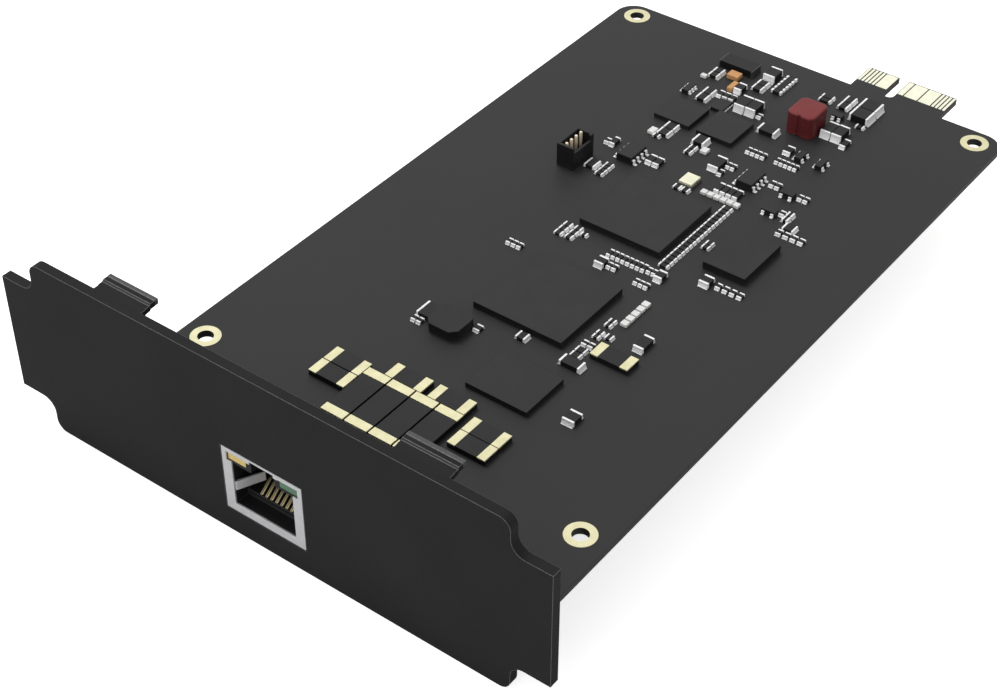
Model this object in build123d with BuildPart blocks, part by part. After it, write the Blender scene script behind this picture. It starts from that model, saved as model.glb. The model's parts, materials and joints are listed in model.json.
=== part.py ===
from build123d import *
import os

# Expansion module: a front panel, a circuit board standing at right angles behind it, and a
# network jack under the board whose face is level with the panel's front.
# Millimetres. The origin is the centre of the four mounting holes on the board's underside:
# +X runs right along the panel seen from the front, +Y to the edge connector, +Z up from the
# component side.

os.makedirs("parts", exist_ok=True)

# Circuit board
BOARD_THICKNESS = 1.2
BOARD_TOP = BOARD_THICKNESS
BOARD_LEFT = -40.9
BOARD_RIGHT = 41.1
BOARD_FRONT = -75.75
BOARD_BACK = 65.0
BOARD_CORNER_R = 4.0
HOLE_SPACING_X = 73.0
HOLE_SPACING_Y = 122.6
HOLE_D = 2.7
RING_D = 5.1
PLATING = 0.06

# Edge tongue and its key slot
TONGUE_LEFT = 9.1
TONGUE_RIGHT = 27.45
TONGUE_END = 72.5
TONGUE_CHAMFER = 0.3
KEY_X = 16.5
KEY_WIDTH = 2.05
KEY_BOTTOM = 65.35
FINGER_START = 67.35
NARROW_FINGER = 0.48
NARROW_PITCH = 0.74
NARROW_GROUPS = [(9.27, 5), (24.6, 4)]
WIDE_FINGERS = [(12.97, 2.35), (17.7, 1.05), (18.99, 2.62), (21.86, 2.48)]

# Front panel
PANEL_THICKNESS = 1.8
PANEL_X = -10.25
PANEL_Z = -0.6
PANEL_WIDTH = 107.0
PANEL_HEIGHT = 34.4
PANEL_EAR_LENGTH = 7.1
PANEL_EAR_STEP = 5.9
PANEL_SHOULDER_WIDTH = PANEL_WIDTH - 2 * PANEL_EAR_LENGTH
PANEL_EAR_HEIGHT = PANEL_HEIGHT - 2 * PANEL_EAR_STEP
PANEL_CORNER_R = 2.0
PANEL_INNER_R = 2.5
PANEL_FRONT = BOARD_FRONT - PANEL_THICKNESS
PANEL_TOP = PANEL_Z + PANEL_HEIGHT / 2

# Bent fingers on the panel's top edge
LUG_LEFTS = [-44.0, 14.5]
LUG_WIDTH = 10.0
LUG_THICKNESS = 1.0
# Upper side of a finger: distance behind the panel's back, height above its top edge
LUG_PROFILE = [
    (0, 0),
    (0.8, 0),
    (1.0, 0.12),
    (1.75, 0.18),
    (2.05, 0.45),
    (2.9, 0.45),
    (2.95, 0.52),
    (3.65, 0.52),
]

# Jack under the board
JACK_X = -10.2
JACK_WIDTH = 16.0
JACK_HEIGHT = 12.8
JACK_DEPTH = 18.0
JACK_PANEL_GAP = 0.15
SHIELD_SHEET = 0.3
MOUTH_WIDTH = 12.3
MOUTH_FLOOR = -11.2
MOUTH_ROOF = -3.0
MOUTH_DEPTH = 11.0
FLOOR_STEP = 1.0
FLOOR_STEP_SETBACK = 2.85
FRAME_ROOF = -0.95
LATCH_WIDTH = 4.8
LATCH_ROOF = -0.4
LAMP_OFFSET = 5.2
LAMP_WIDTH = 3.6
LAMP_HEIGHT = 1.45
LAMP_DEPTH = 2.6
LAMP_WINDOW_GAP = 0.15
CONTACT_COUNT = 8
CONTACT_PITCH = 1.02
CONTACT_WIDTH = 0.5
CONTACT_FRONT = 2.95
CONTACT_RUN = 5.2
CONTACT_RISE = 4.0
CONTACT_THICKNESS = 0.45
SPRING_LOW = -8.55
SPRING_HEIGHT = 1.75
SPRING_LENGTH = 4.4
SPRING_REACH = 2.3
SPRING_SHEET = 0.25
SPRING_ROOT = 0.6
JOINT_D = 1.4
JOINT_HEIGHT = 0.6
JOINT_TAPER = 35

# Large chips: left, near, width, depth, height
MAIN_PROCESSOR = (-6.2, -1.2, 16.15, 16.35, 1.3)
LINE_PROCESSOR = (-6.95, -29.9, 17.45, 17.2, 1.25)
INTERFACE_CHIP = (3.95, -46.1, 11.75, 9.7, 1.0)
MEMORY_CHIP = (17.1, 1.1, 8.1, 11.55, 1.45)
CLOCK_CHIP = (-14.2, 33.7, 7.45, 7.1, 0.9)
CONTROL_CHIP = (-5.05, 33.6, 7.3, 8.0, 0.95)
CHIP_EDGE = 0.05

# Inductors, crystal and header
BLACK_INDUCTOR = (-9.9, -39.1, 6.2, 6.2, 1.9)
BLACK_CORNER = 1.15
RED_INDUCTOR = (7.1, 44.05, 5.5, 6.3, 4.4)
RED_CORNER_R = 1.2
RED_TOP_R = 0.5
RED_GROOVE_WIDTH = 0.6
RED_GROOVE_DEPTH = 0.3
CRYSTAL_BASE = (0.8, 18.5, 2.95, 3.35, 0.5)
CRYSTAL_LID_INSET = 0.15
CRYSTAL_LID_HEIGHT = 0.5
HEADER = (-19.65, 10.7, 3.55, 6.4, 4.65)
HEADER_WALL = 0.55
HEADER_FLOOR = 1.3
HEADER_POST = 0.95
HEADER_NOTCH_DEPTH = 1.2
PIN_SIZE = 0.5
PIN_COUNT = 4
PIN_PITCH = 1.43
PIN_X = -18.2
PIN_HEIGHT = 4.7

# Capacitors with gold plates on their ends, and the four long filters behind the jack
GOLD_END_SIZE = (7.1, 3.35, 1.1)
GOLD_END_CAP = 1.5
GOLD_PLATE = 0.28
GOLD_END_PLACES = [
    (-17.3, -58.4),
    (-17.25, -54.85),
    (-7.1, -52.15),
    (1.3, -52.15),
    (10.0, -58.4),
    (10.0, -54.9),
    (15.3, -28.9),
]
DARK_CAPACITOR = (-13.95, 55.5, 7.25, 3.3, 1.4)
DARK_CAPACITOR_END = 0.25
FILTER_SIZE = (4.38, 11.7, 1.1)
FILTER_CAP = 1.65
FILTER_START = (-10.0, -64.0)
FILTER_COUNT = 4
FILTER_PITCH = 4.7

# Two-ended chips
END_LIP = 0.06
THIN_HEIGHT = 0.5
THIN_END = 0.3
MEDIUM_HEIGHT = 0.7
MEDIUM_END = 0.35
THICK_HEIGHT = 1.0
THICK_END = 0.4
TALL_HEIGHT = 1.5
TALL_END = 0.4
PALE_HEIGHT = 0.6
BROWN_HEIGHT = 0.9


def row(x, y, size_x, size_y, count, pitch):
    return [(x + i * pitch, y, size_x, size_y) for i in range(count)]


def column(x, y, size_x, size_y, count, pitch):
    return [(x, y + i * pitch, size_x, size_y) for i in range(count)]


THIN_ALONG_X = (
    column(12.5, -30.5, 1.85, 1.22, 2, 1.45)
    + column(12.75, -24.7, 1.25, 0.93, 2, 1.15)
    + [(14.55, -23.8, 1.25, 1.25)]
    + column(12.7, -21.2, 1.2, 0.93, 2, 1.15)
    + column(-8.15, -6.05, 1.5, 1.1, 3, 1.35)
    + column(-6.0, -5.95, 1.4, 1.1, 3, 1.35)
    + [(-4.2, -3.9, 1.2, 0.9)]
    + column(10.9, -2.85, 1.8, 0.9, 18, 1.16)
    + column(14.0, 5.5, 1.4, 0.98, 2, 1.2)
    + row(0.7, 17.0, 1.42, 1.25, 2, 1.65)
    + column(-12.55, 12.35, 1.55, 0.83, 4, 1.05)
    + column(-3.6, 27.2, 1.4, 1.25, 2, 1.5)
    + [(-10.9, 28.2, 1.3, 0.9)]
    + [(16.9, 52.6, 1.6, 1.0)]
    + column(7.0, 56.5, 2.4, 1.03, 2, 1.25)
)
THIN_ALONG_Y = (
    row(12.4, -27.2, 0.98, 1.2, 2, 1.2)
    + row(-13.0, -38.6, 0.9, 1.3, 2, 1.1)
    + [(-3.45, -34.65, 1.2, 1.55)]
    + row(-13.0, -13.15, 0.85, 1.35, 3, 1.08)
    + row(4.25, -8.5, 0.83, 1.4, 2, 1.05)
    + row(2.42, -5.85, 0.74, 1.8, 8, 0.98)
    + row(10.3, -5.65, 0.8, 1.35, 2, 1.02)
    + row(10.2, -9.35, 0.8, 1.3, 3, 1.0)
    + row(21.65, -2.4, 0.92, 1.35, 4, 1.38)
    + row(4.8, 27.8, 0.77, 1.5, 2, 0.95)
    + [(4.7, 25.0, 0.9, 1.6)]
    + row(13.8, 27.55, 0.92, 1.6, 2, 1.15)
    + row(19.8, 27.0, 0.9, 1.4, 2, 1.12)
    + [(19.6, 21.2, 1.0, 1.3)]
    + row(21.92, 16.2, 1.05, 1.4, 4, 1.43)
    + row(10.95, 34.2, 0.73, 1.5, 5, 0.93)
    + row(5.15, 33.9, 0.8, 1.55, 4, 1.02)
    + [(-16.8, 21.3, 1.0, 1.4)]
    + row(-8.85, 46.3, 1.05, 1.9, 3, 1.3)
    + [(0.8, 44.6, 1.05, 1.15)]
)
MEDIUM_ALONG_X = (
    [(3.15, -32.2, 1.85, 1.7), (22.2, 17.9, 2.2, 1.9), (-15.4, 13.15, 2.1, 2.4)]
    + column(20.9, 19.95, 1.2, 1.28, 2, 1.5)
    + column(-10.7, 29.3, 2.3, 1.98, 2, 2.2)
    + column(-13.6, 51.1, 2.0, 1.43, 2, 1.65)
    + column(-11.3, 43.1, 2.1, 2.02, 2, 2.25)
    + column(-4.75, 52.1, 2.15, 1.58, 2, 1.8)
    + column(11.15, 56.2, 1.95, 2.05, 2, 2.25)
)
MEDIUM_ALONG_Y = (
    row(7.05, 20.3, 1.0, 2.7, 4, 1.22)
    + row(-7.4, 20.5, 1.28, 2.4, 2, 1.5)
    + [(-15.65, 21.2, 1.1, 2.4), (17.7, 45.3, 1.2, 2.5), (10.6, 37.65, 1.5, 2.25)]
)
THICK_ALONG_X = [
    (12.3, -33.1, 3.9, 2.0),
    (-13.0, -37.1, 2.9, 3.4),
    (-4.0, 30.4, 2.5, 2.5),
    (3.4, 40.7, 3.6, 2.25),
]
THICK_ALONG_Y = [
    (19.6, -23.2, 1.9, 3.5),
    (20.5, -43.7, 2.2, 2.6),
    (2.25, -9.15, 1.8, 2.1),
    (12.35, -6.55, 1.55, 2.2),
    (18.95, -3.1, 1.9, 2.2),
    (2.4, 25.6, 2.05, 3.8),
    (-7.0, 49.4, 1.6, 2.5),
]
TALL_ALONG_X = column(14.7, 54.2, 3.75, 3.1, 2, 3.3)
TALL_ALONG_Y = [
    (-3.8, 44.3, 2.15, 3.8),
    (-1.5, 44.4, 2.1, 3.75),
    (-4.75, 56.2, 2.4, 3.4),
    (13.15, 46.45, 2.0, 3.65),
    (15.3, 46.5, 2.0, 3.7),
]
PALE_PLACES = (
    column(14.6, -19.45, 1.25, 1.2, 5, 1.5)
    + row(5.42, 18.55, 1.12, 1.1, 6, 1.32)
    + [(-1.35, 29.0, 1.35, 1.5), (-12.3, 28.6, 1.25, 1.8), (-14.7, 50.1, 1.2, 0.9)]
)
BROWN_PLACES = [(-10.6, 52.85, 2.35, 1.9), (-8.2, 49.05, 1.05, 2.65)]

# Packages with bent leads: left, near, width, depth, height
SMALL_OUTLINES = [(-12.0, 18.4, 3.1, 4.8, 1.5), (9.2, 24.2, 3.1, 4.8, 1.5)]
SMALL_OUTLINE_LEADS = 4
SMALL_OUTLINE_PITCH = 1.27
SMALL_OUTLINE_REACH = 0.9
SMALL_OUTLINE_LEAD = 0.54
SIDE_LEAD_TRANSISTORS = [(13.4, 36.9, 1.3, 2.8, 1.0), (17.55, 36.9, 1.3, 2.8, 1.0)]
SIDE_LEAD_PITCH = 1.85
END_LEAD_TRANSISTORS = [
    (16.65, 26.3, 2.8, 1.3, 1.0, 1.8),
    (16.7, 20.2, 2.8, 1.3, 1.0, 1.8),
    (11.9, 52.8, 2.0, 1.35, 0.9, 1.25),
]
SMALL_REGULATOR = (-14.6, 43.5, 1.3, 3.0, 0.9)
REGULATOR_PITCH = 0.95
TRANSISTOR_REACH = 0.5
TRANSISTOR_LEAD = 0.58
LEAD_THICKNESS = 0.2
LEAD_SHOULDER = 0.45

# Leadless amplifier and resistor array
AMPLIFIER = (-7.3, 41.9, 2.6, 3.7, 0.7)
AMPLIFIER_PINS = 5
AMPLIFIER_PITCH = 0.72
AMPLIFIER_PIN_WIDTH = 0.4
AMPLIFIER_PIN_REACH = 0.2
ARRAY = (-0.95, 53.4, 1.3, 6.6, 0.7)
ARRAY_PINS = 6
ARRAY_PITCH = 1.08
ARRAY_PIN_WIDTH = 0.7
ARRAY_PIN_REACH = 0.45


def middle_of(place):
    return (place[0] + place[2] / 2, place[1] + place[3] / 2)


def block(x, y, size_x, size_y):
    with Locations((x + size_x / 2, y + size_y / 2)):
        Rectangle(size_x, size_y)


def bodies_along_x(places, cap):
    for x, y, length, width in places:
        block(x + cap, y, length - 2 * cap, width)


def bodies_along_y(places, cap):
    for x, y, width, length in places:
        block(x, y + cap, width, length - 2 * cap)


def ends_along_x(places, cap):
    for x, y, length, width in places:
        block(x, y, cap, width)
        block(x + length - cap, y, cap, width)


def ends_along_y(places, cap):
    for x, y, width, length in places:
        block(x, y, width, cap)
        block(x, y + length - cap, width, cap)


def lead_outline(face, side, reach, height):
    """A lead bent down from the middle of a body's side face to a foot on the board."""
    shoulder = face + side * min(LEAD_SHOULDER, reach / 2)
    inner = shoulder - side * LEAD_THICKNESS
    tip = face + side * reach
    middle = BOARD_TOP + height / 2
    foot = BOARD_TOP + LEAD_THICKNESS
    return [
        (face, middle + LEAD_THICKNESS),
        (shoulder, middle + LEAD_THICKNESS),
        (shoulder, foot),
        (tip, foot),
        (tip, BOARD_TOP),
        (inner, BOARD_TOP),
        (inner, middle),
        (face, middle),
    ]


def spread(middle, count, pitch):
    return [middle + (i - (count - 1) / 2) * pitch for i in range(count)]


# Board with its four holes, edge tongue and key slot
with BuildPart() as circuit_board:
    with BuildSketch(Plane.XY) as board_outline:
        block(BOARD_LEFT, BOARD_FRONT, BOARD_RIGHT - BOARD_LEFT, BOARD_BACK - BOARD_FRONT)
        fillet(board_outline.vertices().group_by(Axis.Y)[-1], BOARD_CORNER_R)
        block(TONGUE_LEFT, 0, TONGUE_RIGHT - TONGUE_LEFT, TONGUE_END)
        chamfer(board_outline.vertices().group_by(Axis.Y)[-1], TONGUE_CHAMFER)
        with Locations((KEY_X, TONGUE_END)):
            Rectangle(KEY_WIDTH, 2 * (TONGUE_END - KEY_BOTTOM) - KEY_WIDTH, mode=Mode.SUBTRACT)
        with Locations((KEY_X, KEY_BOTTOM + KEY_WIDTH / 2)):
            Circle(KEY_WIDTH / 2, mode=Mode.SUBTRACT)
        with GridLocations(HOLE_SPACING_X, HOLE_SPACING_Y, 2, 2):
            Circle(HOLE_D / 2, mode=Mode.SUBTRACT)
    extrude(amount=BOARD_THICKNESS)
circuit_board.part.label = "circuit_board"
export_step(circuit_board.part, "parts/circuit_board.step")

# Plated ring round each hole on both sides of the board
with BuildPart() as mounting_hole_rings:
    for level in (BOARD_TOP, -PLATING):
        with BuildSketch(Plane.XY.offset(level)):
            with GridLocations(HOLE_SPACING_X, HOLE_SPACING_Y, 2, 2):
                Circle(RING_D / 2)
                Circle(HOLE_D / 2, mode=Mode.SUBTRACT)
        extrude(amount=PLATING)
mounting_hole_rings.part.label = "mounting_hole_rings"
export_step(mounting_hole_rings.part, "parts/mounting_hole_rings.step")


def finger_blocks():
    length = TONGUE_END - TONGUE_CHAMFER - FINGER_START
    for start, count in NARROW_GROUPS:
        for place in row(start, FINGER_START, NARROW_FINGER, length, count, NARROW_PITCH):
            block(*place)
    for start, width in WIDE_FINGERS:
        block(start, FINGER_START, width, length)


# Contact fingers on the tongue's two sides
with BuildPart() as top_edge_contacts:
    with BuildSketch(Plane.XY.offset(BOARD_TOP)):
        finger_blocks()
    extrude(amount=PLATING)
top_edge_contacts.part.label = "top_edge_contacts"
export_step(top_edge_contacts.part, "parts/top_edge_contacts.step")

with BuildPart() as bottom_edge_contacts:
    with BuildSketch(Plane.XY.offset(-PLATING)):
        finger_blocks()
    extrude(amount=PLATING)
bottom_edge_contacts.part.label = "bottom_edge_contacts"
export_step(bottom_edge_contacts.part, "parts/bottom_edge_contacts.step")

# Front panel with stepped ears, the jack hole and two bent fingers on the top edge
lug_upper = [(BOARD_FRONT + back, PANEL_TOP + rise) for back, rise in LUG_PROFILE]
lug_lower = [(y, z - LUG_THICKNESS) for y, z in reversed(lug_upper)]
lug_outline = lug_upper + lug_lower
with BuildPart() as front_panel:
    with BuildSketch(Plane.XZ.offset(-BOARD_FRONT)) as panel_outline:
        with Locations((PANEL_X, PANEL_Z)):
            Rectangle(PANEL_SHOULDER_WIDTH, PANEL_HEIGHT)
            Rectangle(PANEL_WIDTH, PANEL_EAR_HEIGHT)
        inner = [
            v
            for v in panel_outline.vertices()
            if abs(v.X - PANEL_X) < PANEL_SHOULDER_WIDTH / 2 + 0.01
            and abs(v.Y - PANEL_Z) < PANEL_EAR_HEIGHT / 2 + 0.01
        ]
        fillet(inner, PANEL_INNER_R)
        corners = [v for v in panel_outline.vertices() if abs(v.Y - PANEL_Z) > PANEL_HEIGHT / 2 - 0.01]
        fillet(corners, PANEL_CORNER_R)
        with Locations((JACK_X, -JACK_HEIGHT / 2)):
            Rectangle(
                JACK_WIDTH + 2 * JACK_PANEL_GAP,
                JACK_HEIGHT + 2 * JACK_PANEL_GAP,
                mode=Mode.SUBTRACT,
            )
    extrude(amount=PANEL_THICKNESS)
    for lug_left in LUG_LEFTS:
        with BuildSketch(Plane.YZ.offset(lug_left)):
            Polygon(*lug_outline, align=None)
        extrude(amount=LUG_WIDTH)
front_panel.part.label = "front_panel"
export_step(front_panel.part, "parts/front_panel.step")

JACK_FRONT = PANEL_FRONT
JACK_FACE = Plane.XZ.offset(-JACK_FRONT)
JACK_MIDDLE_Z = -JACK_HEIGHT / 2
LAMP_PLACES = [JACK_X - LAMP_OFFSET, JACK_X + LAMP_OFFSET]
LAMP_Z = FRAME_ROOF - LAMP_HEIGHT / 2


def cut_from_face(depth, roof, latch_roof, lamp_depth, lamp_gap):
    """Plug mouth, latch recess and lamp windows, cut back from the jack's face."""
    with BuildSketch(JACK_FACE) as mouth:
        with Locations((JACK_X, (roof + MOUTH_FLOOR) / 2)):
            Rectangle(MOUTH_WIDTH, roof - MOUTH_FLOOR)
        with Locations((JACK_X, (latch_roof + MOUTH_FLOOR) / 2)):
            Rectangle(LATCH_WIDTH, latch_roof - MOUTH_FLOOR)
    extrude(mouth.sketch, amount=-depth, mode=Mode.SUBTRACT)
    with BuildSketch(JACK_FACE) as windows:
        with Locations(*[(x, LAMP_Z) for x in LAMP_PLACES]):
            Rectangle(LAMP_WIDTH + 2 * lamp_gap, LAMP_HEIGHT + 2 * lamp_gap)
    extrude(windows.sketch, amount=-lamp_depth, mode=Mode.SUBTRACT)


# Folded sheet shield round the jack
with BuildPart() as jack_shield:
    with BuildSketch(JACK_FACE):
        with Locations((JACK_X, JACK_MIDDLE_Z)):
            Rectangle(JACK_WIDTH, JACK_HEIGHT)
    extrude(amount=-JACK_DEPTH)
    with BuildSketch(JACK_FACE.offset(-SHIELD_SHEET)):
        with Locations((JACK_X, JACK_MIDDLE_Z)):
            Rectangle(JACK_WIDTH - 2 * SHIELD_SHEET, JACK_HEIGHT - 2 * SHIELD_SHEET)
    extrude(amount=-(JACK_DEPTH - 2 * SHIELD_SHEET), mode=Mode.SUBTRACT)
    cut_from_face(SHIELD_SHEET, FRAME_ROOF, LATCH_ROOF, SHIELD_SHEET, LAMP_WINDOW_GAP)
jack_shield.part.label = "jack_shield"
export_step(jack_shield.part, "parts/jack_shield.step")

# Plastic housing that fills the shield round the plug mouth, with a step in its floor
with BuildPart() as jack_housing:
    with BuildSketch(JACK_FACE.offset(-SHIELD_SHEET)):
        with Locations((JACK_X, JACK_MIDDLE_Z)):
            Rectangle(JACK_WIDTH - 2 * SHIELD_SHEET, JACK_HEIGHT - 2 * SHIELD_SHEET)
    extrude(amount=-(JACK_DEPTH - 2 * SHIELD_SHEET))
    cut_from_face(MOUTH_DEPTH, MOUTH_ROOF, LATCH_ROOF - SHIELD_SHEET, LAMP_DEPTH, 0)
    with BuildSketch(JACK_FACE.offset(-FLOOR_STEP_SETBACK)):
        with Locations((JACK_X, MOUTH_FLOOR + FLOOR_STEP / 2)):
            Rectangle(MOUTH_WIDTH, FLOOR_STEP)
    extrude(amount=FLOOR_STEP_SETBACK - MOUTH_DEPTH)
jack_housing.part.label = "jack_housing"
export_step(jack_housing.part, "parts/jack_housing.step")

# Eight sprung contacts rising backward from the floor's step
with BuildPart() as jack_contacts:
    contact_start = JACK_FRONT + CONTACT_FRONT
    contact_low = MOUTH_FLOOR + FLOOR_STEP
    for x in spread(JACK_X, CONTACT_COUNT, CONTACT_PITCH):
        with BuildSketch(Plane.YZ.offset(x - CONTACT_WIDTH / 2)):
            Polygon(
                (contact_start, contact_low),
                (contact_start + CONTACT_THICKNESS, contact_low),
                (contact_start + CONTACT_RUN + CONTACT_THICKNESS, contact_low + CONTACT_RISE),
                (contact_start + CONTACT_RUN, contact_low + CONTACT_RISE),
                align=None,
            )
        extrude(amount=CONTACT_WIDTH)
jack_contacts.part.label = "jack_contacts"
export_step(jack_contacts.part, "parts/jack_contacts.step")

# Ground springs leaning into the mouth from its two side walls
with BuildPart() as jack_ground_springs:
    spring_start = JACK_FRONT + SHIELD_SHEET
    for side in (-1, 1):
        wall = JACK_X + side * MOUTH_WIDTH / 2
        with BuildSketch(Plane.XY.offset(SPRING_LOW)):
            Polygon(
                (wall, spring_start),
                (wall - side * SPRING_SHEET, spring_start),
                (wall - side * SPRING_REACH, spring_start + SPRING_LENGTH),
                (wall - side * (SPRING_REACH - SPRING_SHEET), spring_start + SPRING_LENGTH),
                (wall, spring_start + SPRING_ROOT),
                align=None,
            )
        extrude(amount=SPRING_HEIGHT)
jack_ground_springs.part.label = "jack_ground_springs"
export_step(jack_ground_springs.part, "parts/jack_ground_springs.step")

# Lamps beside the latch recess, behind windows in the shield
with BuildPart() as left_jack_lamp:
    with BuildSketch(JACK_FACE.offset(-SHIELD_SHEET)):
        with Locations((LAMP_PLACES[0], LAMP_Z)):
            Rectangle(LAMP_WIDTH, LAMP_HEIGHT)
    extrude(amount=SHIELD_SHEET - LAMP_DEPTH)
left_jack_lamp.part.label = "left_jack_lamp"
export_step(left_jack_lamp.part, "parts/left_jack_lamp.step")

with BuildPart() as right_jack_lamp:
    with BuildSketch(JACK_FACE.offset(-SHIELD_SHEET)):
        with Locations((LAMP_PLACES[1], LAMP_Z)):
            Rectangle(LAMP_WIDTH, LAMP_HEIGHT)
    extrude(amount=SHIELD_SHEET - LAMP_DEPTH)
right_jack_lamp.part.label = "right_jack_lamp"
export_step(right_jack_lamp.part, "parts/right_jack_lamp.step")

# Soldered pin ends of the jack on the board's top: two staggered contact rows, the lamp
# pins behind them and one post at each side
CONTACT_ROWS = [-70.2, -67.7]
LAMP_ROW = -65.2
LAMP_PIN_OFFSETS = [-6.6, -4.1, 4.1, 6.6]
POST_OFFSET = 7.3
POST_ROW = -72.6
JOINT_PLACES = (
    [(x, CONTACT_ROWS[i % 2]) for i, x in enumerate(spread(JACK_X, CONTACT_COUNT, CONTACT_PITCH))]
    + [(JACK_X + offset, LAMP_ROW) for offset in LAMP_PIN_OFFSETS]
    + [(JACK_X - POST_OFFSET, POST_ROW), (JACK_X + POST_OFFSET, POST_ROW)]
)
with BuildPart() as jack_solder_joints:
    with BuildSketch(Plane.XY.offset(BOARD_TOP)):
        with Locations(*JOINT_PLACES):
            RegularPolygon(JOINT_D / 2, 8)
    extrude(amount=JOINT_HEIGHT, taper=JOINT_TAPER)
jack_solder_joints.part.label = "jack_solder_joints"
export_step(jack_solder_joints.part, "parts/jack_solder_joints.step")


def package(place):
    """A flat moulded package on the board with its top edges broken."""
    x, y, size_x, size_y, height = place
    with BuildSketch(Plane.XY.offset(BOARD_TOP)) as outline:
        block(x, y, size_x, size_y)
    body = extrude(outline.sketch, amount=height)
    chamfer(body.faces().sort_by(Axis.Z)[-1].edges(), CHIP_EDGE)


# The six large chips
with BuildPart() as main_processor:
    package(MAIN_PROCESSOR)
main_processor.part.label = "main_processor"
export_step(main_processor.part, "parts/main_processor.step")

with BuildPart() as line_processor:
    package(LINE_PROCESSOR)
line_processor.part.label = "line_processor"
export_step(line_processor.part, "parts/line_processor.step")

with BuildPart() as interface_chip:
    package(INTERFACE_CHIP)
interface_chip.part.label = "interface_chip"
export_step(interface_chip.part, "parts/interface_chip.step")

with BuildPart() as memory_chip:
    package(MEMORY_CHIP)
memory_chip.part.label = "memory_chip"
export_step(memory_chip.part, "parts/memory_chip.step")

with BuildPart() as clock_chip:
    package(CLOCK_CHIP)
clock_chip.part.label = "clock_chip"
export_step(clock_chip.part, "parts/clock_chip.step")

with BuildPart() as control_chip:
    package(CONTROL_CHIP)
control_chip.part.label = "control_chip"
export_step(control_chip.part, "parts/control_chip.step")

# Low shielded inductor with cut corners
with BuildPart() as black_inductor:
    with BuildSketch(Plane.XY.offset(BOARD_TOP)) as inductor_outline:
        block(*BLACK_INDUCTOR[:4])
        chamfer(inductor_outline.vertices(), BLACK_CORNER)
    extrude(amount=BLACK_INDUCTOR[4])
    chamfer(black_inductor.faces().sort_by(Axis.Z)[-1].edges(), CHIP_EDGE)
black_inductor.part.label = "black_inductor"
export_step(black_inductor.part, "parts/black_inductor.step")

# Tall inductor with rounded corners and a groove down its near side
with BuildPart() as red_inductor:
    with BuildSketch(Plane.XY.offset(BOARD_TOP)) as coil_outline:
        block(*RED_INDUCTOR[:4])
        fillet(coil_outline.vertices(), RED_CORNER_R)
        with Locations((middle_of(RED_INDUCTOR)[0], RED_INDUCTOR[1])):
            Rectangle(RED_GROOVE_WIDTH, 2 * RED_GROOVE_DEPTH, mode=Mode.SUBTRACT)
    extrude(amount=RED_INDUCTOR[4])
    chamfer(red_inductor.faces().sort_by(Axis.Z)[-1].edges(), RED_TOP_R / 2)
red_inductor.part.label = "red_inductor"
export_step(red_inductor.part, "parts/red_inductor.step")

# Open box header with a lowered right wall and four pins
with BuildPart() as header_shroud:
    with BuildSketch(Plane.XY.offset(BOARD_TOP)):
        block(*HEADER[:4])
    extrude(amount=HEADER[4])
    with BuildSketch(Plane.XY.offset(BOARD_TOP + HEADER_FLOOR)):
        with Locations(middle_of(HEADER)):
            Rectangle(HEADER[2] - 2 * HEADER_WALL, HEADER[3] - 2 * HEADER_WALL)
    extrude(amount=HEADER[4] - HEADER_FLOOR, mode=Mode.SUBTRACT)
    with BuildSketch(Plane.XY.offset(BOARD_TOP + HEADER[4] - HEADER_NOTCH_DEPTH)):
        block(
            HEADER[0] + HEADER[2] - HEADER_WALL,
            HEADER[1] + HEADER_WALL,
            HEADER_WALL,
            HEADER[3] - HEADER_WALL - HEADER_POST,
        )
    extrude(amount=HEADER_NOTCH_DEPTH, mode=Mode.SUBTRACT)
header_shroud.part.label = "header_shroud"
export_step(header_shroud.part, "parts/header_shroud.step")

with BuildPart() as header_pins:
    with BuildSketch(Plane.XY.offset(BOARD_TOP + HEADER_FLOOR)):
        with Locations(*[(PIN_X, y) for y in spread(middle_of(HEADER)[1], PIN_COUNT, PIN_PITCH)]):
            Rectangle(PIN_SIZE, PIN_SIZE)
    extrude(amount=PIN_HEIGHT - HEADER_FLOOR)
header_pins.part.label = "header_pins"
export_step(header_pins.part, "parts/header_pins.step")

# Crystal: a metal lid on a ceramic base
with BuildPart() as crystal_base:
    with BuildSketch(Plane.XY.offset(BOARD_TOP)):
        block(*CRYSTAL_BASE[:4])
    extrude(amount=CRYSTAL_BASE[4])
crystal_base.part.label = "crystal_base"
export_step(crystal_base.part, "parts/crystal_base.step")

with BuildPart() as crystal_lid:
    with BuildSketch(Plane.XY.offset(BOARD_TOP + CRYSTAL_BASE[4])):
        with Locations(middle_of(CRYSTAL_BASE)):
            Rectangle(
                CRYSTAL_BASE[2] - 2 * CRYSTAL_LID_INSET,
                CRYSTAL_BASE[3] - 2 * CRYSTAL_LID_INSET,
            )
    extrude(amount=CRYSTAL_LID_HEIGHT)
crystal_lid.part.label = "crystal_lid"
export_step(crystal_lid.part, "parts/crystal_lid.step")

# Capacitors with a gold plate on each end
with BuildPart() as gold_end_capacitor_bodies:
    length, width, height = GOLD_END_SIZE
    with BuildSketch(Plane.XY.offset(BOARD_TOP)):
        for x, y in GOLD_END_PLACES:
            block(x, y, length, width)
    extrude(amount=height - GOLD_PLATE)
    with BuildSketch(Plane.XY.offset(BOARD_TOP + height - GOLD_PLATE)):
        for x, y in GOLD_END_PLACES:
            block(x + GOLD_END_CAP, y, length - 2 * GOLD_END_CAP, width)
    extrude(amount=GOLD_PLATE - END_LIP)
gold_end_capacitor_bodies.part.label = "gold_end_capacitor_bodies"
export_step(gold_end_capacitor_bodies.part, "parts/gold_end_capacitor_bodies.step")

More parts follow.
